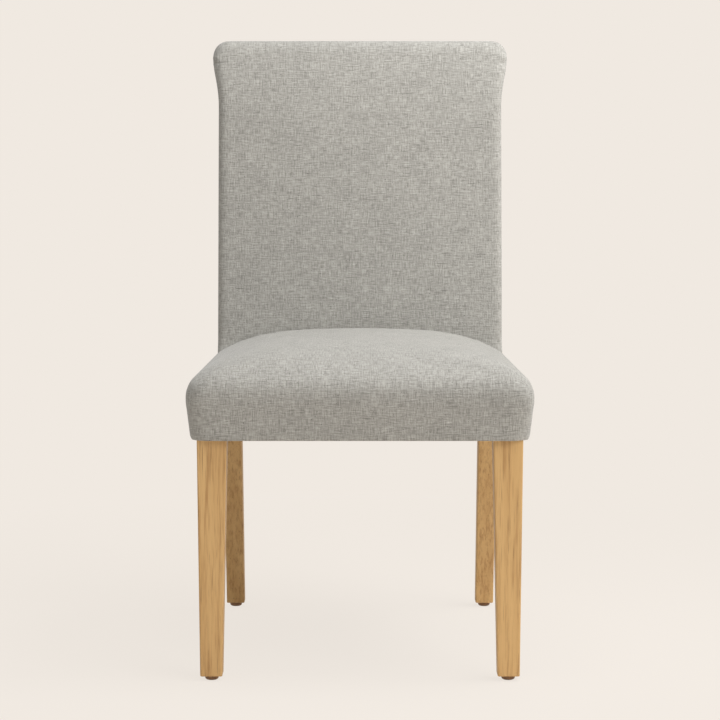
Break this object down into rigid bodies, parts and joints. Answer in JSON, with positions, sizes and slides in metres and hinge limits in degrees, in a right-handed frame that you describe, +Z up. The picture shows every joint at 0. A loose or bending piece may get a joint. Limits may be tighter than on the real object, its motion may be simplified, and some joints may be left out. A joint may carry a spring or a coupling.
{
  "type": "parsons dining chair",
  "caption": "Upholstered parsons dining chair with a rolled top to its leaning back, square tapered wooden legs and a plastic glide under each foot.",
  "frame": {"origin": "on the floor under the middle of the chair's bounding box", "axes": "+X to the chair's right as seen from its front in the picture, +Y from the front legs towards the back, +Z up"},
  "size_m": [0.5006, 0.5948, 0.943],
  "materials": {
    "finished_hardwood": "clear satin lacquer over light hardwood",
    "frame_hardwood": "unfinished hardwood",
    "dowel_wood": "unfinished hardwood dowel",
    "glide_plastic": "moulded brown",
    "zinc_steel": "bright zinc plated",
    "linen_cloth": "warm grey linen weave",
    "webbing": "woven elastic webbing",
    "hessian": "plain hessian",
    "foam": null,
    "wadding": "polyester wadding",
    "black_cloth": "spunbonded non-woven",
    "cardboard": "plain"
  },
  "bodies": {
    "root": {"back_batting": "wadding", "back_cover": "linen_cloth", "back_deck_cloth": "hessian", "back_foam": "foam", "back_lower_rail": "frame_hardwood", "back_rail_dowels": "dowel_wood", "back_webbing": "webbing", "corner_block_screws": "zinc_steel", "crest_rail": "frame_hardwood", "dust_cover": "black_cloth", "front_left_corner_block": "frame_hardwood", "front_left_glide": "glide_plastic", "front_left_leg": "finished_hardwood", "front_right_corner_block": "frame_hardwood", "front_right_glide": "glide_plastic", "front_right_leg": "finished_hardwood", "glide_nails": "zinc_steel", "hanger_bolt_nuts": "zinc_steel", "hanger_bolt_washers": "zinc_steel", "leg_hanger_bolts": "zinc_steel", "outside_back_panel": "linen_cloth", "outside_back_tack_strip": "cardboard", "rear_left_corner_block": "frame_hardwood", "rear_left_glide": "glide_plastic", "rear_left_post": "finished_hardwood", "rear_right_corner_block": "frame_hardwood", "rear_right_glide": "glide_plastic", "rear_right_post": "finished_hardwood", "roll_padding": "foam", "seat_batting": "wadding", "seat_cover": "linen_cloth", "seat_deck_cloth": "hessian", "seat_foam": "foam", "seat_front_rail": "frame_hardwood", "seat_left_rail": "frame_hardwood", "seat_rail_dowels": "dowel_wood", "seat_rear_rail": "frame_hardwood", "seat_right_rail": "frame_hardwood", "seat_webbing_crosswise": "webbing", "seat_webbing_lengthwise": "webbing"}
  },
  "joints": []
}
